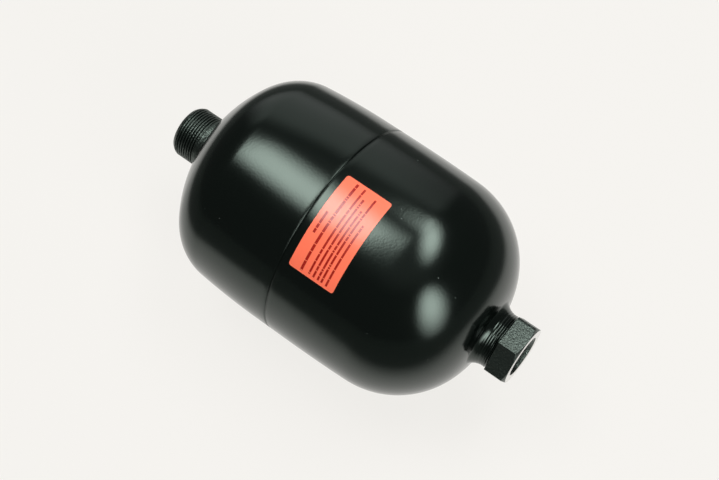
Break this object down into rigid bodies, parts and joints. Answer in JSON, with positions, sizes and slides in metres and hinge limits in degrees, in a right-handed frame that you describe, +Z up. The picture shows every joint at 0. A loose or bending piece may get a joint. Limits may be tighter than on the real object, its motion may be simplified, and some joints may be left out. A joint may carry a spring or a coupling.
{
  "type": "bladder accumulator",
  "caption": "Black welded steel bladder accumulator lying on its side, with a hexagonal threaded fluid port, a threaded gas stub and a sprung poppet valve inside the port.",
  "frame": {"origin": "centre of the fluid port's end face", "axes": "+X points out of the fluid port along the vessel's axis; +Z is up as the vessel lies on its side"},
  "size_m": [0.2096, 0.118, 0.1181],
  "materials": {
    "vessel_paint": "gloss",
    "fitting_paint": "satin",
    "weld_paint": "satin",
    "inner_steel": "satin",
    "plated_steel": "satin",
    "spring_steel": "satin",
    "guide_brass": "satin",
    "bladder_rubber": "matte",
    "seal_rubber": "matte",
    "label_film": "satin"
  },
  "bodies": {
    "vessel": {"gas_shell_half": "vessel_paint", "fluid_shell_half": "vessel_paint", "seam_weld": "weld_paint", "weld_backing_ring": "inner_steel", "port_fitting": "fitting_paint", "port_weld": "weld_paint", "valve_guide": "guide_brass", "guide_retaining_ring": "spring_steel", "poppet_spring": "spring_steel", "gas_stub": "fitting_paint", "gas_stub_weld": "weld_paint", "charging_screw": "plated_steel", "charging_screw_seal": "seal_rubber", "bladder": "bladder_rubber", "bladder_button": "plated_steel", "bladder_clamp_disc": "plated_steel", "bladder_clamp_nut": "plated_steel", "label_sticker": "label_film"},
    "poppet": {"poppet_valve": "plated_steel", "stop_washer": "plated_steel", "stop_nut": "plated_steel"}
  },
  "joints": [
    {"name": "poppet_slide", "type": "slide", "parent": "vessel", "child": "poppet", "axis": [1, 0, 0], "range_m": [0, 0.004], "stiffness_N_per_m": 576, "springref_m": -0.002, "deforming": ["poppet_spring"]}
  ]
}
